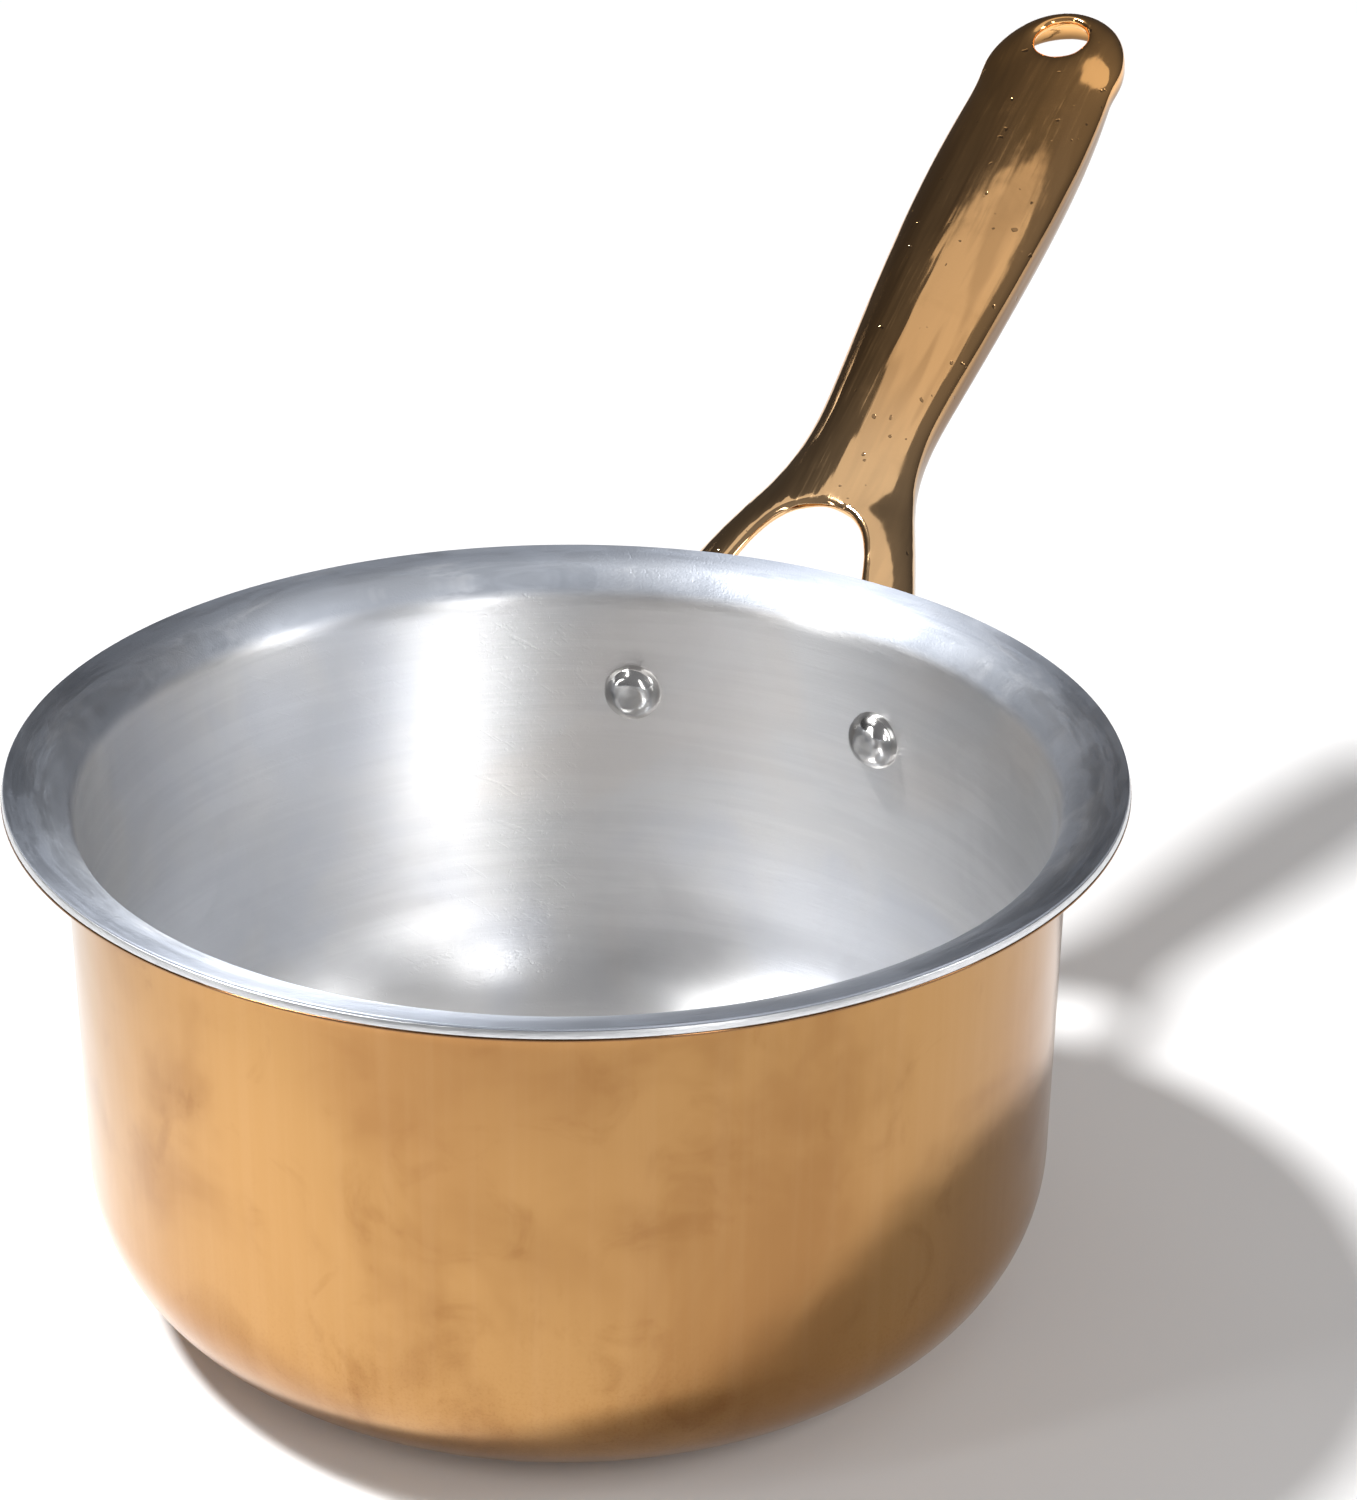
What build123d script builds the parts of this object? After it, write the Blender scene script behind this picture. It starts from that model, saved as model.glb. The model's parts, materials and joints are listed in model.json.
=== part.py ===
from build123d import *
from math import cos, radians, sin, tan
import os

# A saucepan of bonded sheet with a cast fork handle. The base stands on z = 0 about the origin,
# and the handle runs along +X. Sizes are in millimetres and angles in degrees.

# Pan: sizes of its outside face.
rim_radius = 92.0
body_radius = 82.4
pan_height = 94.0
corner_radius = 25.0
lip_bend_radius = 6.0
lip_slope = 15.0

# The bonded sheet, from the outside in.
copper_thickness = 0.4
core_thickness = 1.2
lining_thickness = 0.4

# Rivets: each foot of the handle has one, and they stand below the bend of the lip.
rivet_angle = 18.0
rivet_drop = 16.4
shank_radius = 3.0
shank_clearance = 0.0
inner_head_radius = 5.5
inner_head_height = 3.3
outer_head_radius = 4.8
outer_head_height = 1.8
head_seat_clearance = 0.5

# Handle: its top line leaves the rim, below the lip, and ends at the tip.
handle_reach = 160.0
root_drop = 4.3
root_slope = 29.7
tip_slope = 23.7
root_depth = 9.5
grip_depth = 12.0
tip_depth = 7.5
neck_half_width = 11.8
grip_half_width = 15.9
tip_half_width = 14.6
fork_half_width = 24.5
neck_distance = 40.0
grip_distance = 113.0
top_round = 4.0

# The handle is a shell, open underneath, and the channel starts outside the feet.
plate_thickness = 2.8
side_thickness = 3.0
channel_start = 2.0

# Window between the prongs.
window_reach = 18.5
window_half_width = 13.9

# Feet: flat-faced pads that fit the wall.
foot_half_width = 8.8
foot_half_height = 14.0
foot_thickness = 4.6
foot_corner_radius = 7.0
foot_round = 1.2

# Hanging hole through the tip.
hole_radius = 6.0
hole_setback = 12.3

# Values worked out from the sizes above.
wall = copper_thickness + core_thickness + lining_thickness
inner_radius = body_radius - wall
lip_turn = radians(90.0 - lip_slope)
flange_length = (rim_radius - body_radius - lip_bend_radius * (1.0 - cos(lip_turn))) / sin(lip_turn)
bend_height = pan_height - (lip_bend_radius + wall) * sin(lip_turn) - flange_length * cos(lip_turn)
rivet_height = bend_height - rivet_drop
drill_radius = shank_radius + shank_clearance
foot_face = body_radius + foot_thickness
foot_centre_y = body_radius * sin(radians(rivet_angle))
root_height = pan_height - root_drop
tip_x = rim_radius + handle_reach
# The prongs run on into the wall this far before they are cut to its curve, and the window further.
overrun = 2.0 * foot_thickness
window_start = body_radius - 2.0 * overrun
# A rivet's shank starts half way up its inner head, so that the two are one solid.
shank_start = inner_radius - inner_head_height / 2.0
# A length that is more than any height or width here, for cuts that go right through.
through = handle_reach + pan_height + rim_radius


def face_points(depth):
    """Corners of the sheet's section at a depth below its outside face, from the axis to the lip."""
    bend_centre = body_radius + lip_bend_radius
    radius = lip_bend_radius + depth
    bend_end_x = bend_centre - radius * cos(lip_turn)
    bend_end_z = bend_height + radius * sin(lip_turn)
    return {
        "axis": (0.0, depth),
        "corner_start": (body_radius - corner_radius, depth),
        "corner_end": (body_radius - depth, corner_radius),
        "bend_start": (body_radius - depth, bend_height),
        "bend_end": (bend_end_x, bend_end_z),
        "edge": (
            bend_end_x + flange_length * sin(lip_turn),
            bend_end_z + flange_length * cos(lip_turn),
        ),
    }


def draw_face(points):
    """Lines of one face of the sheet, inside an open BuildLine."""
    Line(points["axis"], points["corner_start"])
    TangentArc(points["corner_start"], points["corner_end"], tangent=(1, 0))
    Line(points["corner_end"], points["bend_start"])
    TangentArc(points["bend_start"], points["bend_end"], tangent=(0, 1))
    Line(points["bend_end"], points["edge"])


def rivet_plane(side, distance):
    """Plane across a rivet's line at a distance from the pan's axis, facing outwards."""
    angle = radians(side * rivet_angle)
    centre = (distance * cos(angle), distance * sin(angle), rivet_height)
    return Plane(origin=centre, x_dir=(-sin(angle), cos(angle), 0), z_dir=(cos(angle), sin(angle), 0))


def sheet_layer(depth, thickness, label):
    """One layer of the bonded sheet, spun about the pan's axis and drilled for the rivets."""
    outside = face_points(depth)
    inside = face_points(depth + thickness)
    with BuildPart() as layer:
        with BuildSketch(Plane.XZ):
            with BuildLine():
                draw_face(outside)
                Line(outside["edge"], inside["edge"])
                draw_face(inside)
                Line(outside["axis"], inside["axis"])
            make_face()
        revolve(axis=Axis.Z)
        for side in (-1, 1):
            with BuildSketch(rivet_plane(side, 0)):
                Circle(drill_radius)
            extrude(amount=rim_radius, mode=Mode.SUBTRACT)
    layer.part.label = label
    return layer.part


def top_point(distance):
    """Point of the handle's top line at a distance out from the rim, on an arc between two slopes."""
    mean_slope = root_slope + (tip_slope - root_slope) * distance / handle_reach / 2.0
    return (rim_radius + distance, root_height + distance * tan(radians(mean_slope)))


def slope_at(distance):
    """Slope of the handle's top line at a distance out from the rim, in radians."""
    return radians(root_slope + (tip_slope - root_slope) * distance / handle_reach)


def below_top(distance, depth):
    """Point square below the handle's top line by a depth."""
    x, z = top_point(distance)
    slope = slope_at(distance)
    return (x + depth * sin(slope), z - depth * cos(slope))


def draw_band(start, upper_depth, lower_depths):
    """Closed side view of a band along the handle, inside an open BuildLine."""
    middle = (start + handle_reach) / 2.0
    stations = (start, middle, handle_reach)
    upper = [below_top(station, upper_depth) for station in stations]
    lower = [below_top(station, depth) for station, depth in zip(stations, lower_depths)]
    ThreePointArc(*upper)
    Line(upper[2], lower[2])
    ThreePointArc(lower[2], lower[1], lower[0])
    return upper[0], lower[0]


def draw_half_plan(inset):
    """Closed half of the handle's plan, set in from its edge, inside an open BuildLine."""
    inner_x = body_radius - overrun
    shoulder = (tip_x - tip_half_width, tip_half_width - inset)
    end = (tip_x - inset, 0)
    inner_corner = (inner_x, foot_centre_y + foot_half_width - inset)
    Spline(
        shoulder,
        (rim_radius + grip_distance, grip_half_width - inset),
        (rim_radius + neck_distance, neck_half_width - inset),
        (rim_radius, fork_half_width - inset),
        inner_corner,
        tangents=((-1, 0), (-1, 1)),
    )
    Line(inner_corner, (inner_x, 0))
    Line((inner_x, 0), end)
    TangentArc(shoulder, end, tangent=(1, 0))


def channel_part():
    """The hollow of the handle's underside."""
    with BuildPart() as channel:
        with BuildSketch(Plane.XZ):
            with BuildLine():
                upper, lower = draw_band(channel_start, plate_thickness, (pan_height,) * 3)
                Line(upper, lower)
            make_face()
        extrude(amount=through, both=True)
        with BuildSketch(Plane.XY):
            with BuildLine():
                draw_half_plan(side_thickness)
            make_face()
            mirror(about=Plane.XZ)
        extrude(amount=through, both=True, mode=Mode.INTERSECT)
    return channel.part


def foot_part(side):
    """One foot: a round-cornered pad, flat outside and still square to the rivet inside the wall."""
    with BuildPart() as foot:
        with BuildSketch(rivet_plane(side, body_radius - overrun)):
            RectangleRounded(2.0 * foot_half_width, 2.0 * foot_half_height, foot_corner_radius)
        extrude(amount=overrun + foot_thickness)
        outer_face = foot.faces().sort_by(Axis((0, 0, 0), rivet_plane(side, 0).z_dir))[-1]
        fillet(outer_face.edges(), radius=foot_round)
    return foot.part


def cast_handle_part(channel, feet):
    """Fork handle in one casting: grip, two prongs and two feet."""
    inner_run = body_radius - overrun - rim_radius
    inner_rise = inner_run * tan(radians(root_slope))
    with BuildPart() as casting:
        with BuildSketch(Plane.XZ):
            with BuildLine():
                upper, lower = draw_band(0.0, 0.0, (root_depth, grip_depth, tip_depth))
                inner_upper = (upper[0] + inner_run, upper[1] + inner_rise)
                inner_lower = (lower[0] + inner_run, lower[1] + inner_rise)
                Line(upper, inner_upper)
                Line(inner_upper, inner_lower)
                Line(inner_lower, lower)
            make_face()
        extrude(amount=through, both=True)
        with BuildSketch(Plane.XY):
            with BuildLine():
                draw_half_plan(0.0)
            make_face()
            mirror(about=Plane.XZ)
        extrude(amount=through, both=True, mode=Mode.INTERSECT)
        top_face = casting.faces().sort_by(SortBy.AREA)[-2:].sort_by(Axis.Z)[-1]
        fillet(top_face.edges().filter_by(GeomType.LINE, reverse=True), radius=top_round)
        add(channel, mode=Mode.SUBTRACT)
        with BuildSketch(Plane.XY):
            with BuildLine():
                apex = (rim_radius + window_reach, 0)
                inner_corner = (window_start, foot_centre_y - foot_half_width)
                Spline(
                    inner_corner,
                    (rim_radius, window_half_width),
                    apex,
                    tangents=((1, 0), (0, -1)),
                )
                Line(apex, (window_start, 0))
                Line((window_start, 0), inner_corner)
            make_face()
            mirror(about=Plane.XZ)
        extrude(amount=through, both=True, mode=Mode.SUBTRACT)
        add(feet)
        Cylinder(body_radius, through, mode=Mode.SUBTRACT)
        for side in (-1, 1):
            with BuildSketch(rivet_plane(side, 0)):
                Circle(drill_radius)
            extrude(amount=foot_face, mode=Mode.SUBTRACT)
            with BuildSketch(rivet_plane(side, foot_face)):
                Circle(outer_head_radius + head_seat_clearance)
            extrude(amount=through, mode=Mode.SUBTRACT)
        hole_distance = handle_reach - hole_setback
        hole_x, hole_z = top_point(hole_distance)
        slope = slope_at(hole_distance)
        with BuildSketch(Plane(origin=(hole_x, 0, hole_z), z_dir=(-sin(slope), 0, cos(slope)))):
            Circle(hole_radius)
        extrude(amount=through, both=True, mode=Mode.SUBTRACT)
    casting.part.label = "cast_handle"
    return casting.part


def rivet_part(side, label):
    """A rivet with a domed head inside the pan and a low closed head on the handle's foot."""
    with BuildPart() as rivet:
        across = rivet_plane(side, 0)
        section = Plane(origin=across.origin, x_dir=across.z_dir, z_dir=across.x_dir)
        with BuildSketch(section):
            with BuildLine():
                crown = (inner_radius - inner_head_height, 0)
                edge = (inner_radius, inner_head_radius)
                TangentArc(crown, edge, tangent=(0, 1))
                Polyline(edge, (body_radius, inner_head_radius), (body_radius, 0), crown)
            make_face()
        rivet_line = Axis(across.origin, across.z_dir)
        revolve(axis=rivet_line)
        Cylinder(inner_radius, through, mode=Mode.INTERSECT)
        with BuildSketch(section):
            with BuildLine():
                seat = (foot_face, outer_head_radius)
                crown = (foot_face + outer_head_height, 0)
                TangentArc(crown, seat, tangent=(0, 1))
                Polyline(
                    seat,
                    (foot_face, shank_radius),
                    (shank_start, shank_radius),
                    (shank_start, 0),
                    crown,
                )
            make_face()
        revolve(axis=rivet_line)
    rivet.part.label = label
    return rivet.part


copper_shell = sheet_layer(0.0, copper_thickness, "copper_shell")
aluminium_core = sheet_layer(copper_thickness, core_thickness, "aluminium_core")
steel_lining = sheet_layer(copper_thickness + core_thickness, lining_thickness, "steel_lining")
cast_handle = cast_handle_part(channel_part(), [foot_part(-1), foot_part(1)])
rivet_right = rivet_part(-1, "rivet_right")
rivet_left = rivet_part(1, "rivet_left")

os.makedirs("parts", exist_ok=True)
for piece in (copper_shell, aluminium_core, steel_lining, cast_handle, rivet_right, rivet_left):
    export_step(piece, f"parts/{piece.label}.step")
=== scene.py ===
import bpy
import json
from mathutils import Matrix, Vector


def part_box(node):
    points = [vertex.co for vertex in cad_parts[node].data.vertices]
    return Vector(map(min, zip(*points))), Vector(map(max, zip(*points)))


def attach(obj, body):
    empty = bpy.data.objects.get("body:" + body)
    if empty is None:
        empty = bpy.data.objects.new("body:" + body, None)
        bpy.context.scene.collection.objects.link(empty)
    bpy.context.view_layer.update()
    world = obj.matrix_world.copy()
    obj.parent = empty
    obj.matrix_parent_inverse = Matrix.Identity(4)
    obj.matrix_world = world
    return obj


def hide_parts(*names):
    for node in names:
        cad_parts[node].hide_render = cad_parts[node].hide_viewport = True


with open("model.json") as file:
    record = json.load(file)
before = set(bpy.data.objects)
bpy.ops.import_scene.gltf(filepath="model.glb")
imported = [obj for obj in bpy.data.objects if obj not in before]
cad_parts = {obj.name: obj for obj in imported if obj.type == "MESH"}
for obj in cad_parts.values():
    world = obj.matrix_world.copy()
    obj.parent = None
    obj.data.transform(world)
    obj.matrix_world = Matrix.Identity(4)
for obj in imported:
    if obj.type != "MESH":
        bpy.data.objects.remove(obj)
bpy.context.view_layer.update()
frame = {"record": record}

import json
import math

import bmesh
import bpy
from mathutils import Matrix, Vector

# A saucepan of copper, aluminium and steel bonded in one sheet, with a cast bronze fork handle.
# Lengths are in metres. The base stands on z = 0 about the origin, and the handle runs along +X.

bl_info = {
    "name": "Copper saucepan",
    "version": (1, 0, 0),
    "blender": (4, 5, 0),
    "location": "View3D > Sidebar > Saucepan",
    "description": "Builds a bonded-sheet saucepan with a cast fork handle, and its studio",
    "category": "Add Mesh",
}

# Nodes of the CAD model that the pieces stand for, from the outside of the pan inwards.
SHEET_NODES = ("copper_shell", "aluminium_core", "steel_lining")
RIVET_NODES = ("rivet_right", "rivet_left")
MM = 0.001
# Points closer than this are one point.
SAME_PLACE = 0.005 * MM

rim_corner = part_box("copper_shell")[1]
lining_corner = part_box("steel_lining")[1]
handle_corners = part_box("cast_handle")
rivet_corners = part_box("rivet_left")
hole_mount = next(m for m in frame["record"]["mounts"] if m["name"] == "hanging_hole")
rivet_middle = (rivet_corners[0] + rivet_corners[1]) / 2.0


# ---------------------------------------------------------------- sizes and colours

class PanSizes(bpy.types.PropertyGroup):
    """Sizes of the bonded sheet pan, at its outside face."""

    rim_radius: bpy.props.FloatProperty(
        name="Rim radius", description="From the axis to the lip's edge",
        default=rim_corner.x, min=0.0, unit="LENGTH")
    height: bpy.props.FloatProperty(
        name="Height", description="From the base to the top of the lip",
        default=lining_corner.z, min=0.0, unit="LENGTH")
    body_radius: bpy.props.FloatProperty(
        name="Body radius", description="From the axis to the outside of the wall",
        default=82.4 * MM, min=0.0, unit="LENGTH")
    corner_radius: bpy.props.FloatProperty(
        name="Corner radius", description="Round between the base and the wall",
        default=25.0 * MM, min=0.0, unit="LENGTH")
    bend_radius: bpy.props.FloatProperty(
        name="Lip bend radius", description="Round between the wall and the lip, outside",
        default=6.0 * MM, min=0.0, unit="LENGTH")
    lip_slope: bpy.props.FloatProperty(
        name="Lip slope", description="Rise of the lip above the level",
        default=math.radians(15.0), subtype="ANGLE")
    copper_sheet: bpy.props.FloatProperty(
        name="Copper", description="Thickness of the copper",
        default=0.4 * MM, min=0.0, unit="LENGTH")
    core_sheet: bpy.props.FloatProperty(
        name="Core", description="Thickness of the aluminium core",
        default=1.2 * MM, min=0.0, unit="LENGTH")
    lining_sheet: bpy.props.FloatProperty(
        name="Lining", description="Thickness of the steel lining",
        default=0.4 * MM, min=0.0, unit="LENGTH")
    edge_round: bpy.props.FloatProperty(
        name="Edge round", description="Wear on the cut edge of each sheet",
        default=0.12 * MM, min=0.0, unit="LENGTH")
    steps: bpy.props.IntProperty(
        name="Steps", description="Steps of the spin about the axis", default=240, min=24)


class HandleSizes(bpy.types.PropertyGroup):
    """Sizes of the cast fork handle."""

    root_drop: bpy.props.FloatProperty(
        name="Root drop", description="From the rim down to the handle's top line",
        default=4.3 * MM, unit="LENGTH")
    root_slope: bpy.props.FloatProperty(
        name="Root slope", description="Slope of the top line at the rim",
        default=math.radians(29.7), subtype="ANGLE")
    tip_slope: bpy.props.FloatProperty(
        name="Tip slope", description="Slope of the top line at the tip",
        default=math.radians(23.7), subtype="ANGLE")
    plate: bpy.props.FloatProperty(
        name="Plate", description="Thickness of the shell", default=2.8 * MM, unit="LENGTH")
    foot: bpy.props.FloatProperty(
        name="Foot", description="Thickness of the feet", default=4.6 * MM, unit="LENGTH")
    hole_radius: bpy.props.FloatProperty(
        name="Hole radius", description="Radius of the hanging hole",
        default=hole_mount["dims"]["r_mm"] * MM, unit="LENGTH")


class RivetSizes(bpy.types.PropertyGroup):
    """Sizes of the two rivets."""

    shank_radius: bpy.props.FloatProperty(
        name="Shank radius", description="Radius of the shank", default=3.0 * MM, unit="LENGTH")
    inner_radius: bpy.props.FloatProperty(
        name="Inner head radius", description="Radius of the domed head in the pan",
        default=5.5 * MM, unit="LENGTH")
    inner_height: bpy.props.FloatProperty(
        name="Inner head height", description="Height of the domed head in the pan",
        default=3.3 * MM, unit="LENGTH")
    outer_radius: bpy.props.FloatProperty(
        name="Outer head radius", description="Radius of the low head on the foot",
        default=4.8 * MM, unit="LENGTH")
    outer_height: bpy.props.FloatProperty(
        name="Outer head height", description="Height of the low head on the foot",
        default=1.8 * MM, unit="LENGTH")


def colour_property(name, description, default):
    """A colour that a user may change."""
    return bpy.props.FloatVectorProperty(
        name=name, description=description, default=default, size=3, min=0.0, max=1.0,
        subtype="COLOR")


class Finishes(bpy.types.PropertyGroup):
    """Colours of the metals and the floor."""

    copper: colour_property("Copper", "Polished copper", (0.40, 0.222, 0.084))
    copper_tarnish: colour_property(
        "Copper tarnish", "Copper that has darkened", (0.27, 0.132, 0.045))
    steel: colour_property("Steel", "Brushed steel of the lining", (0.84, 0.84, 0.84))
    # The lip's darker, bluer grey is a painted reflection of the sky on the satin steel.
    lip: colour_property("Lip", "Satin steel of the lip", (0.57, 0.61, 0.68))
    aluminium: colour_property("Aluminium", "Cut edge of the core", (0.80, 0.81, 0.82))
    bronze: colour_property("Bronze", "Polished bronze of the handle", (0.86, 0.50, 0.22))
    rivet: colour_property("Rivet", "Polished steel of the rivets", (0.78, 0.77, 0.75))
    floor: colour_property("Floor", "Pale floor", (0.90, 0.90, 0.90))


class SaucepanSettings(bpy.types.PropertyGroup):
    """Everything that the panel shows."""

    pan: bpy.props.PointerProperty(
        name="Pan", description="Sizes of the pan", type=PanSizes)
    handle: bpy.props.PointerProperty(
        name="Handle", description="Sizes of the handle", type=HandleSizes)
    rivets: bpy.props.PointerProperty(
        name="Rivets", description="Sizes of the rivets", type=RivetSizes)
    finishes: bpy.props.PointerProperty(
        name="Finishes", description="Colours of the metals and the floor", type=Finishes)


# ---------------------------------------------------------------- nodes of the finishes

class Value:
    """A socket in a material's sums. An expression on values adds its Math nodes."""

    def __init__(self, shop, socket):
        self.shop = shop
        self.socket = socket

    def sum(self, operation, first, second):
        return self.shop.node("ShaderNodeMath", {"operation": operation}, {0: first, 1: second})

    def __add__(self, other):
        return self.sum("ADD", self, other)

    def __radd__(self, other):
        return self.sum("ADD", other, self)

    def __sub__(self, other):
        return self.sum("SUBTRACT", self, other)

    def __rsub__(self, other):
        return self.sum("SUBTRACT", other, self)

    def __mul__(self, other):
        return self.sum("MULTIPLY", self, other)

    def __rmul__(self, other):
        return self.sum("MULTIPLY", other, self)

    def __truediv__(self, other):
        return self.sum("DIVIDE", self, other)

    def __rtruediv__(self, other):
        return self.sum("DIVIDE", other, self)


class Shop:
    """Makes the nodes of one material."""

    def __init__(self, tree):
        self.tree = tree

    def node(self, kind, settings, inputs, output=0):
        """Adds a node: its settings first, then a value or a link for each socket."""
        node = self.tree.nodes.new(kind)
        for name, setting in settings.items():
            setattr(node, name, setting)
        for name, given in inputs.items():
            socket = node.inputs[name]
            if isinstance(given, Value):
                self.tree.links.new(given.socket, socket)
            else:
                socket.default_value = given
        return Value(self, node.outputs[output])

    def place(self):
        """Where a point is on the piece, in metres."""
        return self.node("ShaderNodeTexCoord", {}, {}, "Object")

    def split(self, vector):
        """The three parts of a vector."""
        parts = self.node("ShaderNodeSeparateXYZ", {}, {"Vector": vector})
        outputs = parts.socket.node.outputs
        return Value(self, outputs["X"]), Value(self, outputs["Y"]), Value(self, outputs["Z"])

    def join(self, x, y, z):
        """A vector of three parts."""
        return self.node("ShaderNodeCombineXYZ", {}, {"X": x, "Y": y, "Z": z})

    def noise(self, vector, scale, detail=3.0, roughness=0.5, distortion=0.0):
        """Smooth noise between 0 and 1."""
        return self.node("ShaderNodeTexNoise", {"noise_dimensions": "3D"}, {
            "Vector": vector, "Scale": scale, "Detail": detail, "Roughness": roughness,
            "Distortion": distortion}, "Fac")

    def step(self, value, low, high, start=0.0, end=1.0):
        """A smooth rise from start to end as the value goes from low to high."""
        return self.node("ShaderNodeMapRange", {"interpolation_type": "SMOOTHSTEP"}, {
            "Value": value, "From Min": low, "From Max": high, "To Min": start, "To Max": end},
            "Result")

    def stretched(self, vector, turn, scale, shift=(0.0, 0.0, 0.0)):
        """A vector turned to lie along a pattern's own axes, which are stretched by the scale."""
        return self.node("ShaderNodeMapping", {"vector_type": "TEXTURE"}, {
            "Vector": vector, "Rotation": turn, "Location": shift, "Scale": scale})

    def blend(self, share, first, second):
        """Two colours mixed by a share."""
        return self.node("ShaderNodeMix", {"data_type": "RGBA", "blend_type": "MIX"}, {
            0: share, 6: first, 7: second}, 2)

    def bump(self, height, distance, strength=1.0):
        """A normal roughened by a height between 0 and 1, as deep as the distance."""
        return self.node("ShaderNodeBump", {}, {
            "Height": height, "Distance": distance, "Strength": strength}, "Normal")


def new_finish(name, metallic=1.0, constants=()):
    """A material with a shader of its own, its node shop and the shader's sockets."""
    finish = bpy.data.materials.new(name)
    finish.use_nodes = True
    shader = finish.node_tree.nodes["Principled BSDF"]
    shader.inputs["Metallic"].default_value = metallic
    for socket, number in constants:
        shader.inputs[socket].default_value = number
    return finish, Shop(finish.node_tree), shader


def connect(shop, shader, **values):
    """Links values to the shader's sockets, which are named with low lines for spaces."""
    for name, value in values.items():
        shop.tree.links.new(value.socket, shader.inputs[name.replace("_", " ")])


def opaque(colour):
    """A colour property as the shader's four numbers."""
    return (colour[0], colour[1], colour[2], 1.0)


def round_wall(shop, across, up, radius):
    """A pattern's place on the wall of a pan, with no seam: fine round it or fine up it."""
    x, y, z = shop.split(shop.place())
    out = shop.node("ShaderNodeVectorMath", {"operation": "LENGTH"}, {
        0: shop.join(x, y, 0.0)}, "Value")
    out = shop.node("ShaderNodeMath", {"operation": "MAXIMUM"}, {0: out, 1: radius * 0.02})
    return shop.join(x / out * (radius * across), y / out * (radius * across), (z - out) * up)


# Colours that wear, tarnish and tools leave on the metals, and painted shade, reflections and
# highlights, as red, green, blue and alpha.
WARM_TARNISH = (0.33, 0.165, 0.062, 1.0)
COPPER_GLINT = (0.93, 0.66, 0.42, 1.0)
# Painted shade: the copper darkens just under the lip, where the lip's shadow falls.
PAINTED_SHADE_UNDER_LIP = (0.20, 0.10, 0.05, 1.0)
DULL_CUT = (0.55, 0.56, 0.58, 1.0)
WORN_STEEL = (0.66, 0.66, 0.67, 1.0)
BRIGHT_RING = (0.95, 0.95, 0.95, 1.0)
COOL_STEEL = (0.70, 0.75, 0.85, 1.0)
WARM_STEEL = (0.93, 0.84, 0.76, 1.0)
RUBBED_LIP = (0.86, 0.88, 0.92, 1.0)
SCUFFED_LIP = (0.30, 0.33, 0.38, 1.0)
# Painted reflection: a darker band along the lip's outer border.
PAINTED_DARK_LIP_BORDER = (0.33, 0.36, 0.42, 1.0)
DULL_BRONZE = (0.60, 0.33, 0.13, 1.0)
CREASED_BRONZE = (0.50, 0.28, 0.12, 1.0)
# A brighter, redder orange towards the handle's tip.
BRIGHTER_TIP_ORANGE = (1.0, 0.54, 0.20, 1.0)
# Painted reflection: the fork end of the handle is brightened, as the bright sky shows in it.
PAINTED_FORK_REFLECTION = (1.0, 0.68, 0.38, 1.0)
# Painted shade: the handle's sides, which face down, are darkened.
PAINTED_SIDE_SHADE = (0.13, 0.07, 0.03, 1.0)
CASTING_PIT = (0.14, 0.08, 0.04, 1.0)
DENTED_STEEL = (0.62, 0.61, 0.60, 1.0)
FLOOR_MOTTLE = (0.84, 0.84, 0.845, 1.0)
# How far the handle's line leans from the level, as the turn of its scratches.
ALONG_HANDLE = (0.0, -0.47, 0.0)
# The handle's top line: its rise at the rim, and how fast that lessens with each metre.
TOP_RISE = 0.570
TOP_FLATTENING = 0.424
# Families of long scratches in the lining: the turn of each and how close its scratches lie.
SCRATCHES = ((0.5, 672.0), (-0.9, 832.0), (1.5, 768.0), (2.5, 960.0))


def copper_finish(settings):
    """Polished copper: brushed upright, clouded with tarnish, freckled near the base and painted
    with shade under the lip.
    """
    colours = settings.finishes
    finish, shop, shader = new_finish("polished_copper")
    place = shop.place()
    z = shop.split(place)[2]
    radius = settings.pan.body_radius
    clouds = shop.noise(place, 26.0, 4.0, 0.55, 0.6)
    stains = shop.noise(place, 62.0, 5.0, 0.6, 1.2)
    tint = shop.noise(place, 13.0, 2.0)
    brushing = shop.noise(round_wall(shop, 1.0, 0.02, radius), 2600.0, 3.0, 0.65)
    wide_brushing = shop.noise(round_wall(shop, 1.0, 0.03, radius), 420.0, 3.0, 0.6)
    freckles = shop.noise(place, 1900.0, 2.0, 0.7)
    low = shop.step(z, 46.0 * MM, 8.0 * MM)
    shade_under_lip = shop.step(z, 88.0 * MM, 91.5 * MM)

    dull = shop.step(clouds, 0.46, 0.68) * 0.60 + shop.step(stains, 0.54, 0.72) * 0.35
    dull = dull + low * shop.step(freckles, 0.50, 0.66) * 0.30
    colour = shop.blend(dull, opaque(colours.copper), opaque(colours.copper_tarnish))
    colour = shop.blend(shop.step(tint, 0.40, 0.62) * 0.60, colour, WARM_TARNISH)
    colour = shop.blend(shop.step(wide_brushing, 0.40, 0.70) * 0.02, colour, COPPER_GLINT)
    # Painted shade: darker copper in the band just under the lip.
    colour = shop.blend(shade_under_lip * 0.75, colour, PAINTED_SHADE_UNDER_LIP)
    roughness = 0.09 + shop.step(clouds, 0.35, 0.75) * 0.08 + brushing * 0.05
    roughness = roughness + low * freckles * 0.12
    height = brushing * 0.03 + shop.noise(place, 34.0, 2.0) * 7.0 + low * freckles * 0.35
    normal = shop.bump(height, 0.06 * MM, 0.8)
    connect(shop, shader, Base_Color=colour, Roughness=roughness, Normal=normal)
    return finish


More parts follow.
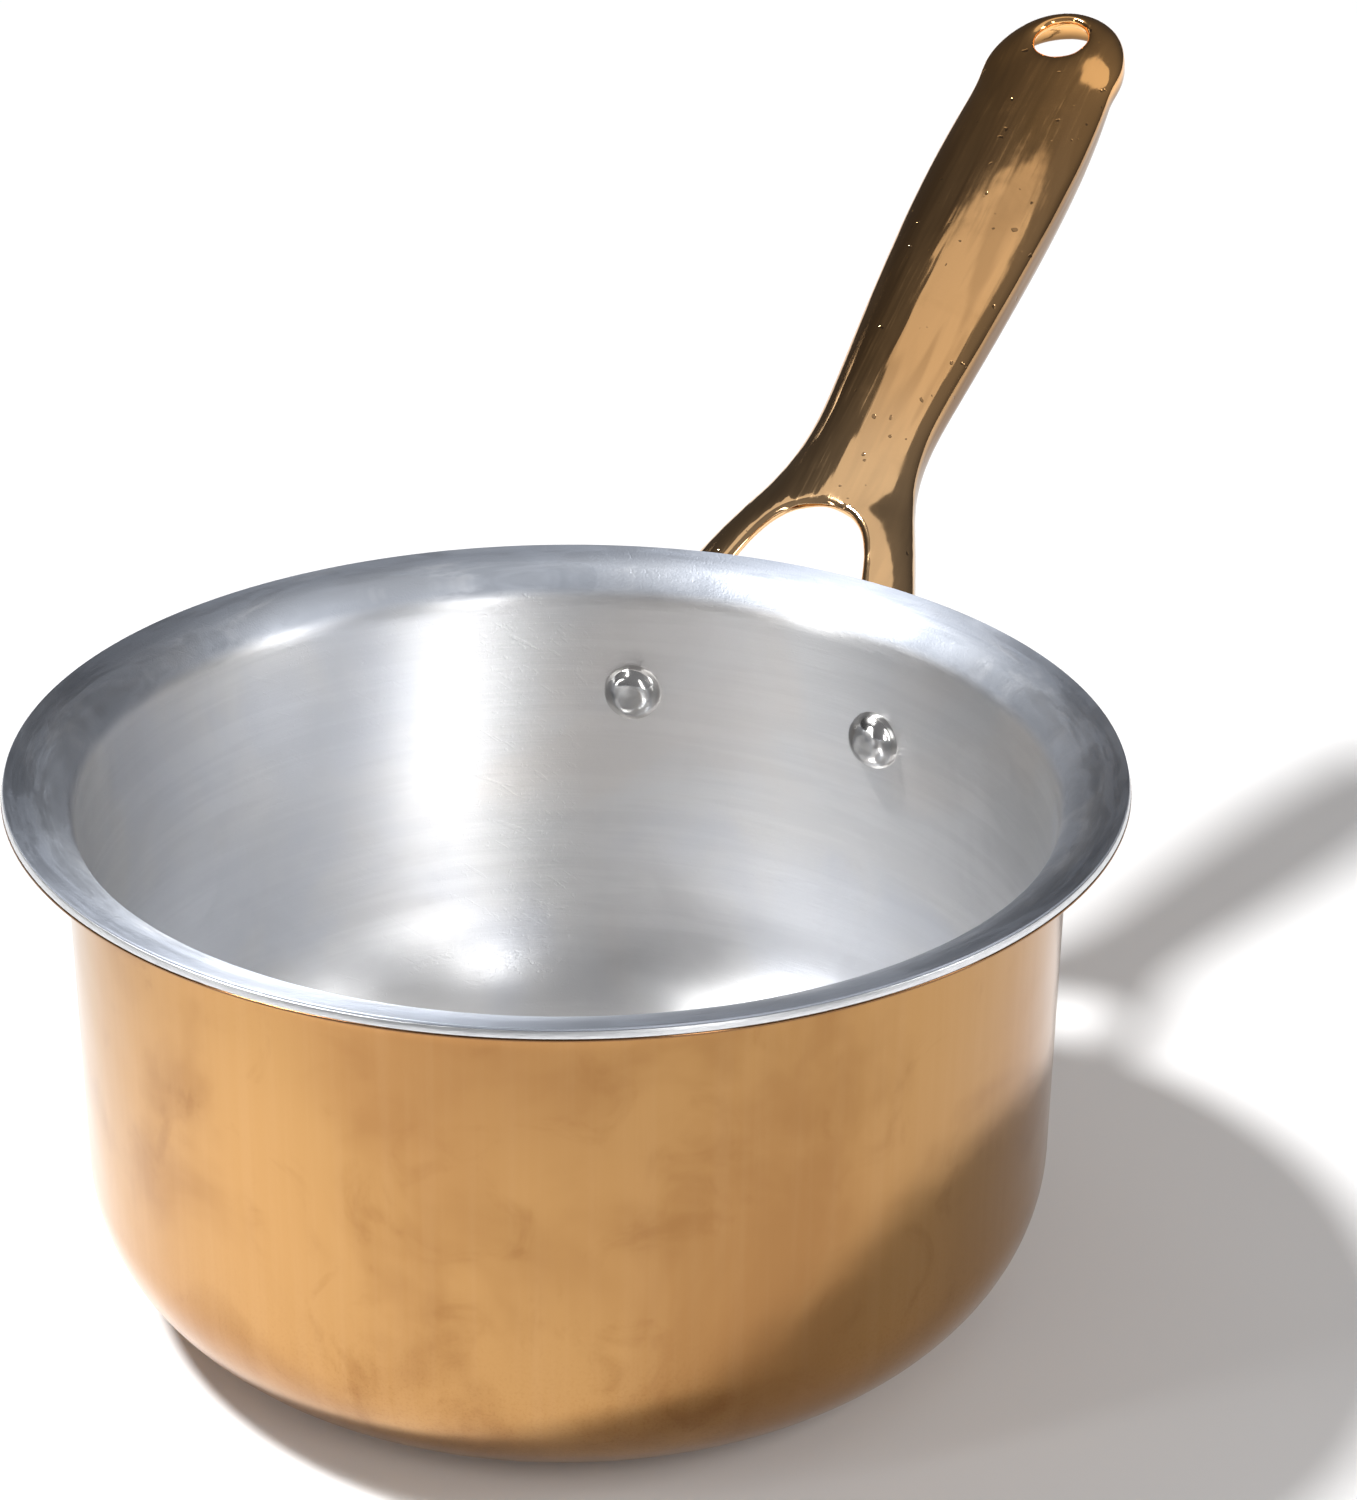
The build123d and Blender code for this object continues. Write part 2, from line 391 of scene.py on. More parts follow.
def core_finish(settings):
    """Aluminium cut at the lip: bright, with fine marks of the cut round it."""
    finish, shop, shader = new_finish("cut_aluminium")
    marks = shop.noise(round_wall(shop, 0.6, 3.0, settings.pan.rim_radius), 900.0, 3.0)
    colour = shop.blend(marks, opaque(settings.finishes.aluminium), DULL_CUT)
    normal = shop.bump(marks, 0.03 * MM)
    connect(shop, shader, Base_Color=colour, Roughness=0.25 + marks * 0.2, Normal=normal)
    return finish


def long_scratches(shop, place):
    """How deep the scratches are at a place: a few families of them, each its own way."""
    total = 0.0
    for number, (turn, closeness) in enumerate(SCRATCHES):
        turned = shop.stretched(
            place, (turn, turn * 0.7, turn * 1.9), (1.0, 28.0, 1.0), (0.1 * number, 0.2, 0.3))
        strand = shop.noise(turned, closeness, 2.0, 0.5, 0.15)
        total = shop.step(strand, 0.655, 0.70) + total
    return total


def lining_finish(settings):
    """Brushed steel: rings round the wall, faint tints, long scratches, and a satin lip painted a
    darker, bluer grey as a reflection of the sky, with a painted dark border.
    """
    colours = settings.finishes
    finish, shop, shader = new_finish(
        "brushed_lining", constants=(("Anisotropic", 0.7), ("Anisotropic Rotation", 0.25)))
    place = shop.place()
    z = shop.split(place)[2]
    radius = settings.pan.body_radius
    rings = shop.noise(round_wall(shop, 0.035, 1.0, radius), 2600.0, 4.0, 0.7)
    wide_rings = shop.noise(round_wall(shop, 0.06, 1.0, radius), 330.0, 3.0, 0.6, 0.3)
    rubbed = shop.noise(round_wall(shop, 0.22, 1.0, radius), 150.0, 5.0, 0.62, 0.6)
    scuffed = shop.noise(round_wall(shop, 0.12, 1.0, radius), 420.0, 4.0, 0.65, 0.5)
    clouds = shop.noise(place, 30.0, 4.0, 0.6, 0.8)
    tints = shop.noise(place, 17.0, 3.0, 0.5, 0.5)
    grain = shop.noise(place, 2300.0, 2.0, 0.7)
    wear = shop.step(clouds, 0.42, 0.70)
    lip = shop.step(z, 86.8 * MM, 89.5 * MM)
    dark_border_reflection = shop.step(z, 92.1 * MM, 93.5 * MM)

    colour = shop.blend(wear * 0.30, opaque(colours.steel), WORN_STEEL)
    colour = shop.blend(shop.step(wide_rings, 0.42, 0.62) * 0.30, colour, BRIGHT_RING)
    colour = shop.blend(shop.step(tints, 0.50, 0.66) * 0.40, colour, COOL_STEEL)
    colour = shop.blend(shop.step(tints, 0.46, 0.32) * 0.30, colour, WARM_STEEL)
    # The lip's darker, bluer grey is a painted reflection of the sky; its higher roughness below is
    # the real satin finish.
    colour = shop.blend(lip * 0.9, colour, opaque(colours.lip))
    colour = shop.blend(lip * shop.step(rubbed, 0.50, 0.64) * 0.60, colour, RUBBED_LIP)
    colour = shop.blend(lip * shop.step(scuffed, 0.50, 0.66) * 0.30, colour, SCUFFED_LIP)
    # Painted reflection: the lip's outer border is darkened.
    colour = shop.blend(dark_border_reflection * 0.70, colour, PAINTED_DARK_LIP_BORDER)
    roughness = 0.27 + rings * 0.14 + wear * 0.07 + lip * 0.15 + grain * 0.03
    roughness = roughness + lip * shop.step(scuffed, 0.42, 0.62) * 0.10
    height = rings * 0.65 + wide_rings * 1.3 + long_scratches(shop, place) * 0.15
    height = height + grain * (0.18 + lip * 0.50)
    normal = shop.bump(height, 0.05 * MM, 0.9)
    connect(shop, shader, Base_Color=colour, Roughness=roughness, Normal=normal)
    return finish


def bronze_finish(settings):
    """Polished bronze: flowing casting creases, fine scratches and pits, a brighter orange tip, a
    painted reflection that brightens the fork, and painted shade down the sides.
    """
    colours = settings.finishes
    finish, shop, shader = new_finish("polished_bronze")
    place = shop.place()
    x, _, z = shop.split(place)
    clouds = shop.noise(place, 42.0, 4.0, 0.6, 0.7)
    scratches = shop.noise(
        shop.stretched(place, ALONG_HANDLE, (33.0, 1.0, 1.0)), 1500.0, 3.0, 0.6)
    creases = shop.noise(
        shop.stretched(place, ALONG_HANDLE, (9.0, 1.0, 1.0)), 190.0, 2.0, 0.5, 0.3)
    pits = shop.step(shop.noise(place, 420.0, 1.0), 0.735, 0.775)
    distance = x - settings.pan.rim_radius
    root_height = settings.pan.height - settings.handle.root_drop
    top = root_height + distance * (TOP_RISE - distance * TOP_FLATTENING)
    # Mask of the painted shade: how far a point lies below the handle's top line.
    side = shop.step(top - z, 4.5 * MM, 8.0 * MM)
    tip = shop.step(x, 185.0 * MM, 235.0 * MM)
    # Mask of the painted reflection: rises towards the fork.
    fork = shop.step(x, 150.0 * MM, 115.0 * MM)

    dull = shop.step(clouds, 0.50, 0.75) * 0.30
    colour = shop.blend(dull, opaque(colours.bronze), DULL_BRONZE)
    colour = shop.blend(shop.step(creases, 0.47, 0.60) * 0.50, colour, CREASED_BRONZE)
    # The colour turns a brighter, redder orange towards the tip.
    colour = shop.blend(tip, colour, BRIGHTER_TIP_ORANGE)
    # Painted reflection brightening the fork.
    colour = shop.blend(fork * 0.6, colour, PAINTED_FORK_REFLECTION)
    # Painted shade down the handle's sides.
    colour = shop.blend(side * 0.88, colour, PAINTED_SIDE_SHADE)
    colour = shop.blend(pits * 0.6, colour, CASTING_PIT)
    roughness = 0.07 + shop.step(clouds, 0.45, 0.80) * 0.10
    roughness = roughness + shop.step(scratches, 0.5, 0.8) * 0.10
    height = scratches * 0.10 + creases * 7.0 + shop.noise(place, 75.0, 2.0) * 1.2 - pits * 0.8
    normal = shop.bump(height, 0.06 * MM, 0.8)
    connect(shop, shader, Base_Color=colour, Roughness=roughness, Normal=normal)
    return finish


def rivet_finish(settings):
    """Polished steel, lightly dented by the hammer."""
    finish, shop, shader = new_finish("polished_rivet")
    place = shop.place()
    dents = shop.noise(place, 210.0, 1.0, 0.5, 0.3)
    scratches = shop.noise(place, 2400.0, 3.0, 0.7)
    colour = shop.blend(dents, opaque(settings.finishes.rivet), DENTED_STEEL)
    normal = shop.bump(dents * 4.0 + scratches * 0.05, 0.12 * MM)
    connect(shop, shader, Base_Color=colour, Roughness=0.10 + scratches * 0.10, Normal=normal)
    return finish


def floor_finish(settings):
    """Pale matt floor, very slightly mottled."""
    finish, shop, shader = new_finish("pale_floor", 0.0, (("Roughness", 0.75),))
    mottle = shop.noise(shop.place(), 9.0, 4.0)
    colour = shop.blend(mottle * 0.12, opaque(settings.finishes.floor), FLOOR_MOTTLE)
    connect(shop, shader, Base_Color=colour)
    return finish


# ---------------------------------------------------------------- working on a mesh

def begin(name, add, **sizes):
    """Adds a primitive in edit mode, with its place in its mesh and all of it selected."""
    for other in bpy.context.selected_objects:
        other.select_set(False)
    add(**sizes)
    piece = bpy.context.object
    piece.name = name
    piece.data.name = name
    bpy.ops.object.transform_apply(location=True, rotation=True, scale=True)
    bpy.ops.object.mode_set(mode="EDIT")
    bpy.ops.mesh.select_mode(type="VERT")
    bpy.ops.mesh.select_all(action="SELECT")
    return piece


def begin_line(name, start):
    """Begins a piece as one point, in edit mode and selected."""
    piece = begin(name, bpy.ops.mesh.primitive_plane_add, size=MM, location=start)
    bpy.ops.mesh.merge(type="CENTER")
    return piece


def run_to(start, end):
    """Extrudes the selected point along a straight line."""
    bpy.ops.mesh.extrude_vertices_move(TRANSFORM_OT_translate={
        "value": Vector(end) - Vector(start)})


def arc_round(centre, angle, steps):
    """Extrudes the selected point along an arc, in the plane of the axis and +X."""
    bpy.ops.mesh.spin(steps=steps, angle=angle, center=centre, axis=(0.0, 1.0, 0.0))


def pick(piece, wanted):
    """Selects the points of the piece in edit mode for which wanted is true."""
    bpy.ops.mesh.select_all(action="DESELECT")
    mesh = bmesh.from_edit_mesh(piece.data)
    for point in mesh.verts:
        if wanted(point):
            point.select_set(True)
    mesh.select_flush_mode()
    bmesh.update_edit_mesh(piece.data)


def pick_numbers(piece, numbers):
    """Selects the points of the piece that have these numbers."""
    pick(piece, lambda point: point.index in numbers)


def pick_at(piece, place):
    """Selects the point of the piece that stands at a place."""
    pick(piece, lambda point: (point.co - Vector(place)).length < SAME_PLACE)


def move_point(piece, number, place):
    """Moves one point of the piece in edit mode to a place."""
    pick_numbers(piece, [number])
    points = bmesh.from_edit_mesh(piece.data).verts
    points.ensure_lookup_table()
    bpy.ops.transform.translate(value=Vector(place) - points[number].co)


def finish_modifier(piece, kind, **settings):
    """Adds a modifier, sets it and applies it."""
    modifier = piece.modifiers.new(kind.lower(), kind)
    for name, setting in settings.items():
        setattr(modifier, name, setting)
    bpy.ops.object.modifier_apply(modifier=modifier.name)


def face_out(piece, place, direction):
    """Turns the faces so that the one nearest a place looks along a direction."""
    bpy.ops.mesh.select_all(action="SELECT")
    bpy.ops.mesh.remove_doubles(threshold=0.001 * MM)
    bpy.ops.mesh.normals_make_consistent(inside=False)
    mesh = bmesh.from_edit_mesh(piece.data)
    nearest = min(mesh.faces, key=lambda face: (face.calc_center_median() - Vector(place)).length)
    if nearest.normal.dot(Vector(direction)) < 0.0:
        bpy.ops.mesh.flip_normals()


def hand_over(piece, finish, slot, *nodes):
    """Gives a finished piece its material and body and hides the CAD nodes that it stands for; the
    slot is not used.
    """
    if not piece.data.polygons:
        raise RuntimeError(f"{piece.name} has no faces")
    piece.data.materials.clear()
    piece.data.materials.append(finish)
    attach(piece, "root")
    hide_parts(*nodes)


# ---------------------------------------------------------------- the pan

# Steps of the section round the corner at the base, up the wall and round the lip's bend.
CORNER_STEPS = 20
WALL_ROWS = 12
BEND_STEPS = 14


def sheet_layer(name, pan, depth, thickness, edge_round):
    """One layer of the bonded sheet: its section drawn, spun about the axis and thickened."""
    turn = math.radians(90.0) - pan.lip_slope
    wall_sheet = pan.copper_sheet + pan.core_sheet + pan.lining_sheet
    reach = pan.rim_radius - pan.body_radius - pan.bend_radius * (1.0 - math.cos(turn))
    flange = reach / math.sin(turn)
    bend_height = (
        pan.height - (pan.bend_radius + wall_sheet) * math.sin(turn) - flange * math.cos(turn))
    bend_centre = (pan.body_radius + pan.bend_radius, 0.0, bend_height)
    corner_x = pan.body_radius - pan.corner_radius

    piece = begin_line(name, (0.0, 0.0, depth))
    run_to((0.0, 0.0, depth), (corner_x * 0.5, 0.0, depth))
    run_to((corner_x * 0.5, 0.0, depth), (corner_x, 0.0, depth))
    arc_round((corner_x, 0.0, pan.corner_radius), math.radians(90.0), CORNER_STEPS)
    for row in range(WALL_ROWS):
        run_to((0.0, 0.0, 0.0), (0.0, 0.0, (bend_height - pan.corner_radius) / WALL_ROWS))
    arc_round(bend_centre, -turn, BEND_STEPS)
    run_to((0.0, 0.0, 0.0), (flange * math.sin(turn), 0.0, flange * math.cos(turn)))
    bpy.ops.mesh.select_all(action="SELECT")
    bpy.ops.mesh.spin(
        steps=pan.steps, angle=math.radians(360.0), center=(0.0, 0.0, 0.0), axis=(0.0, 0.0, 1.0))
    face_out(piece, (pan.body_radius - depth, 0.0, pan.corner_radius * 1.5), (1.0, 0.0, 0.0))
    bpy.ops.object.mode_set(mode="OBJECT")
    finish_modifier(piece, "SOLIDIFY", thickness=thickness, offset=-1.0, use_even_offset=True)
    finish_modifier(
        piece, "BEVEL", width=edge_round, segments=3, limit_method="ANGLE",
        angle_limit=math.radians(60.0))
    bpy.ops.object.shade_smooth_by_angle(angle=math.radians(35.0))
    return piece


class SAUCEPAN_OT_pan(bpy.types.Operator):
    """Makes the pan's three layers: copper outside, aluminium core and steel lining"""

    bl_idname = "saucepan.pan"
    bl_label = "Pan"

    def execute(self, context):
        settings = context.scene.saucepan
        pan = settings.pan
        layers = (
            ("copper_outside", pan.copper_sheet, copper_finish, "copper", 1.0),
            ("aluminium_middle", pan.core_sheet, core_finish, "core_aluminium", 1.5),
            ("steel_inside", pan.lining_sheet, lining_finish, "lining_steel", 1.3),
        )
        depth = 0.0
        for (name, thickness, finish, slot, wear), node in zip(layers, SHEET_NODES):
            piece = sheet_layer(name, pan, depth, thickness, pan.edge_round * wear)
            hand_over(piece, finish(settings), slot, node)
            depth += thickness
        return {"FINISHED"}


# ---------------------------------------------------------------- the handle

# Rows of the handle's cage in millimetres, from the arch towards the tip. Each row gives the
# inner point, on the window's edge or the middle line, and the outer point, on the side, as a
# distance from the rim and a half width, then the depth of the side there.
HANDLE_ROWS = (
    ((-2.0, 14.9), (-2.6, 26.0), 8.4),
    ((3.0, 13.5), (3.5, 23.4), 9.4),
    ((9.0, 11.8), (9.5, 21.1), 9.7),
    ((14.0, 9.3), (15.0, 18.9), 10.0),
    ((17.4, 5.6), (20.0, 16.7), 10.2),
    ((18.4, 0.0), (25.5, 14.4), 10.5),
    ((29.0, 0.0), (31.5, 12.6), 10.9),
    ((40.5, 0.0), (41.0, 11.6), 11.3),
    ((58.0, 0.0), (58.0, 13.1), 11.9),
    ((78.0, 0.0), (78.0, 14.6), 12.0),
    ((98.0, 0.0), (98.0, 15.8), 11.8),
    ((118.0, 0.0), (118.0, 16.0), 11.2),
    ((133.0, 0.0), (133.0, 15.1), 10.0),
)
# Share of the way from the inner to the outer point, and drop below the top line, by column.
HANDLE_COLUMNS = ((0.0, 0.0), (0.46, 0.7), (0.80, 2.3), (1.0, 4.8))
# The feet: heights of their rows, and half of the angle that each row spans on the wall.
# Heights are in millimetres and angles in degrees.
FOOT_ROWS = ((54.6, 4.3), (59.0, 6.3), (69.0, 6.5), (79.0, 6.3))
# Where the prong turns down to the foot, column by column, in millimetres.
TURN_ROW = (
    (85.0, 15.9, 85.6), (84.6, 19.6, 85.3), (84.2, 23.3, 84.9),
    (83.6, 26.8, 84.0), (84.0, 29.6, 81.6), (84.6, 31.8, 79.0),
)
# Drops of the tip's last four columns below the top line, in millimetres.
TIP_DROPS = (1.1, 3.2, 5.2, 8.6)
# Shares of the side's depth at the last two columns.
SIDE_SHARES = (0.62, 1.0)
# Directions of the rows round the hole, in degrees from the tip.
TIP_ANGLES = (135.0, 90.0, 45.0, 0.0)
TIP_HALF_WIDTH = 14.6 * MM
# Smoothing draws a cage in, so its rings stand this much further out than the finished surface.
RING_SPREAD = 1.06
TIP_SPREAD = 1.09
# The end leans out as it drops, so its centre and the hole's are set back by this much.
TIP_SETBACK = 1.6 * MM
HOLE_SETBACK = 0.6 * MM
# The first row round the hole meets the side here: back from the end's centre, and half width.
SHOULDER_BACK = 7.0 * MM
SHOULDER_HALF_WIDTH = 14.9 * MM
# The feet's inner face stands clear of the wall by this much.
FOOT_GAP = 0.1 * MM
# The shell thins from the foot's thickness to the plate's over this distance from the wall.
THINNING = 12.0 * MM
SMOOTHING_LEVELS = 3


def handle_place(handle, distance, side, drop):
    """A point given by its distance from the rim, its side and its drop below the top line."""
    pan = bpy.context.scene.saucepan.pan
    reach = handle_corners[1].x - pan.rim_radius
    mean = handle.root_slope + (handle.tip_slope - handle.root_slope) * distance / reach / 2.0
    slope = handle.root_slope + (handle.tip_slope - handle.root_slope) * distance / reach
    x = pan.rim_radius + distance
    z = pan.height - handle.root_drop + distance * math.tan(mean)
    return (x + drop * math.sin(slope), side, z - drop * math.cos(slope))


def handle_cage(handle):
    """Every row of the cage, from the foot to the tip, as lists of six places."""
    pan = bpy.context.scene.saucepan.pan
    cage = []
    middle = math.degrees(math.atan2(rivet_middle.y, rivet_middle.x))
    for height, half in FOOT_ROWS:
        angles = [math.radians(middle - half + 2.0 * half * column / 5.0) for column in range(6)]
        wall = pan.body_radius + FOOT_GAP
        cage.append([(wall * math.cos(a), wall * math.sin(a), height * MM) for a in angles])
    cage.append([tuple(number * MM for number in place) for place in TURN_ROW])
    for inner, outer, depth in HANDLE_ROWS:
        row = [
            handle_place(
                handle,
                (inner[0] + (outer[0] - inner[0]) * share) * MM,
                (inner[1] + (outer[1] - inner[1]) * share) * MM,
                drop * MM)
            for share, drop in HANDLE_COLUMNS]
        for share in SIDE_SHARES:
            row.append(handle_place(handle, outer[0] * MM, outer[1] * MM, depth * share * MM))
        cage.append(row)
    cage.extend(tip_rows(handle))
    return cage


def tip_rows(handle):
    """The rows round the hanging hole and the round end."""
    pan = bpy.context.scene.saucepan.pan
    hole = hole_mount["pos_m"][0] - pan.rim_radius - HOLE_SETBACK
    ring = handle.hole_radius * RING_SPREAD
    end = TIP_HALF_WIDTH * TIP_SPREAD
    end_centre = handle_corners[1].x - pan.rim_radius - TIP_HALF_WIDTH - TIP_SETBACK
    rows = []
    for degrees in TIP_ANGLES:
        turn = math.radians(degrees)
        inner = (hole, 0.0)
        ring_place = (hole + ring * math.cos(turn), ring * math.sin(turn))
        edge = (end_centre + end * math.cos(turn), end * math.sin(turn))
        if degrees == TIP_ANGLES[0]:
            inner = (hole - ring, 0.0)
            edge = (end_centre - SHOULDER_BACK, SHOULDER_HALF_WIDTH)
        middle = tuple(start + (stop - start) * 0.62 for start, stop in zip(ring_place, edge))
        row = [handle_place(handle, *inner, 0.0), handle_place(handle, *ring_place, 0.0)]
        for place, drop in zip((middle, edge, edge, edge), TIP_DROPS):
            row.append(handle_place(handle, *place, drop * MM))
        rows.append(row)
    return rows


class SAUCEPAN_OT_handle(bpy.types.Operator):
    """Makes the cast fork handle: one half shaped row by row, mirrored, thickened and smoothed"""

    bl_idname = "saucepan.handle"
    bl_label = "Handle"

    def execute(self, context):
        settings = context.scene.saucepan
        handle = settings.handle
        cage = handle_cage(handle)
        rows, columns = len(cage), len(cage[0])
        piece = begin(
            "fork_handle", bpy.ops.mesh.primitive_grid_add,
            x_subdivisions=columns - 1, y_subdivisions=rows - 1, size=1.0)
        for number, place in enumerate(place for row in cage for place in row):
            move_point(piece, number, place)
        # The middle line stops at the hole, so the last three rows lose their first point.
        pick_numbers(piece, [(rows - ahead) * columns for ahead in (3, 2, 1)])
        bpy.ops.mesh.delete(type="VERT")
        face_out(piece, cage[rows // 2][0], (0.0, 0.0, 1.0))
        bpy.ops.object.mode_set(mode="OBJECT")
        thick = piece.vertex_groups.new(name="thick")
        thin = handle.plate / handle.foot
        for point in piece.data.vertices:
            out = Vector((point.co.x, point.co.y)).length - settings.pan.body_radius
            share = min(1.0, max(0.0, out / THINNING))
            thick.add([point.index], 1.0 + (thin - 1.0) * share, "REPLACE")
        finish_modifier(
            piece, "MIRROR", use_axis=(False, True, False), merge_threshold=0.00001)
        finish_modifier(
            piece, "SOLIDIFY", thickness=handle.foot, offset=-1.0, use_even_offset=True,
            vertex_group="thick", edge_crease_rim=0.25)
        finish_modifier(
            piece, "SUBSURF", levels=SMOOTHING_LEVELS, render_levels=SMOOTHING_LEVELS)
        bpy.ops.object.shade_smooth()
        hand_over(piece, bronze_finish(settings), "handle_bronze", "cast_handle")
        return {"FINISHED"}


# ---------------------------------------------------------------- the rivets

# Corners of the outline that are rounded, by number, and how far from each the round starts.
RIVET_ROUNDS = {1: 1.43, 2: 0.88, 7: 0.55, 8: 0.88}
# The heads stand this deep in the lining and in the feet.
HEAD_SINK = 0.25 * MM
RIVET_STEPS = 48


class SAUCEPAN_OT_rivets(bpy.types.Operator):
    """Makes the two rivets: one spun about its own line and copied to the other side"""

    bl_idname = "saucepan.rivets"
    bl_label = "Rivets"

    def execute(self, context):
        settings = context.scene.saucepan
        pan = settings.pan
        sizes = settings.rivets
        height = rivet_middle.z
        angle = math.atan2(rivet_middle.y, rivet_middle.x)
        inside = pan.body_radius - pan.copper_sheet - pan.core_sheet - pan.lining_sheet
        face = pan.body_radius + settings.handle.foot
        outline = (
            (inside - sizes.inner_height, 0.0),
            (inside - sizes.inner_height, sizes.inner_radius * 0.62),
            (inside - sizes.inner_height * 0.30, sizes.inner_radius),
            (inside + HEAD_SINK, sizes.inner_radius),
            (inside + HEAD_SINK, sizes.shank_radius),
            (face - HEAD_SINK, sizes.shank_radius),
            (face - HEAD_SINK, sizes.outer_radius),
            (face + sizes.outer_height * 0.25, sizes.outer_radius),
            (face + sizes.outer_height, sizes.outer_radius * 0.55),
            (face + sizes.outer_height, 0.0),
        )
        places = [(out, 0.0, height + up) for out, up in outline]
        piece = begin_line("rivet_on_the_right", places[0])
        for start, end in zip(places, places[1:]):
            run_to(start, end)
        for number, offset in RIVET_ROUNDS.items():
            pick_at(piece, places[number])
            bpy.ops.mesh.bevel(
                offset=offset * MM, offset_type="ABSOLUTE", segments=7, affect="VERTICES")
        bpy.ops.mesh.select_all(action="SELECT")
        bpy.ops.mesh.spin(
            steps=RIVET_STEPS, angle=math.radians(360.0), center=(0.0, 0.0, height),
            axis=(1.0, 0.0, 0.0))
        face_out(piece, places[0], (-1.0, 0.0, 0.0))
        bpy.ops.object.mode_set(mode="OBJECT")
        bpy.ops.object.shade_smooth_by_angle(angle=math.radians(40.0))
        other = piece.copy()
        other.data = piece.data.copy()
        other.name = "rivet_on_the_left"
        other.data.name = other.name
        context.collection.objects.link(other)
        finish = rivet_finish(settings)
        for rivet, node, turn in zip((piece, other), RIVET_NODES, (-angle, angle)):
            rivet.data.transform(Matrix.Rotation(turn, 4, "Z"))
            hand_over(rivet, finish, "rivet_steel", node)
        return {"FINISHED"}


# ---------------------------------------------------------------- the studio

# Lengths are in metres, angles in degrees and powers in watts.
FLOOR_SIZE = 60.0
FLOOR_THICKNESS = 0.02
SUN_HEADING = 100.0
SUN_ELEVATION = 60.0
SUN_STRENGTH = 3.3
SUN_WIDTH = 8.0
# Panels that look at the pan: heading, elevation and distance, then width, height and power.
PAN_MIDDLE = (0.03, 0.0, 0.05)
PANELS = (
    ("front_panel", 231.0, 30.0, 1.3, 0.16, 0.9, 3.2),
    ("left_panel", 142.0, 28.0, 1.3, 0.12, 0.8, 2.2),
    ("right_panel", -78.0, 28.0, 1.4, 0.2, 0.8, 4.2),
    ("back_panel", 60.0, 27.0, 1.5, 0.3, 0.16, 0.3),
)
POOL_SPREAD = 50.0
CAMERA_PLACE = (-0.41983, -0.21115, 0.31434)
CAMERA_HEADING = 24.85
CAMERA_PITCH = 25.01
CAMERA_ROLL = 0.55004
CAMERA_LENS = 75.67
CAMERA_SHIFT = (0.0116, -0.0054)
# The room's grey: how it brightens along each axis, the range of that, and its two shades.
ROOM_LEAN = (-0.45, -0.60, 0.55)
ROOM_RANGE = (-0.35, 0.95)
ROOM_SHADE = 0.055
ROOM_LIGHT = 0.17
ROOM_BLUE = 1.04


def add_panel_light(name, place, target, width, depth, power, colour=(1.0, 1.0, 1.0)):
    """A soft rectangular light that looks at a target."""
    bpy.ops.object.light_add(type="AREA", location=place)
    light = bpy.context.object
    light.name = name
    light.data.shape = "RECTANGLE"
    light.data.size = width
    light.data.size_y = depth
    light.data.energy = power
    light.data.color = colour
    back = (Vector(place) - Vector(target)).normalized()
    side = Vector((0.0, 0.0, 1.0)).cross(back)
    side = side.normalized() if side.length > MM else Vector((1.0, 0.0, 0.0))
    light.rotation_euler = Matrix((side, back.cross(side), back)).transposed().to_euler()
    return light


def look_from(heading, elevation):
    """Unit vector towards a place in the studio, by its heading from +X and its elevation."""
    heading, elevation = math.radians(heading), math.radians(elevation)
    return Vector((
        math.cos(heading) * math.cos(elevation), math.sin(heading) * math.cos(elevation),
        math.sin(elevation)))


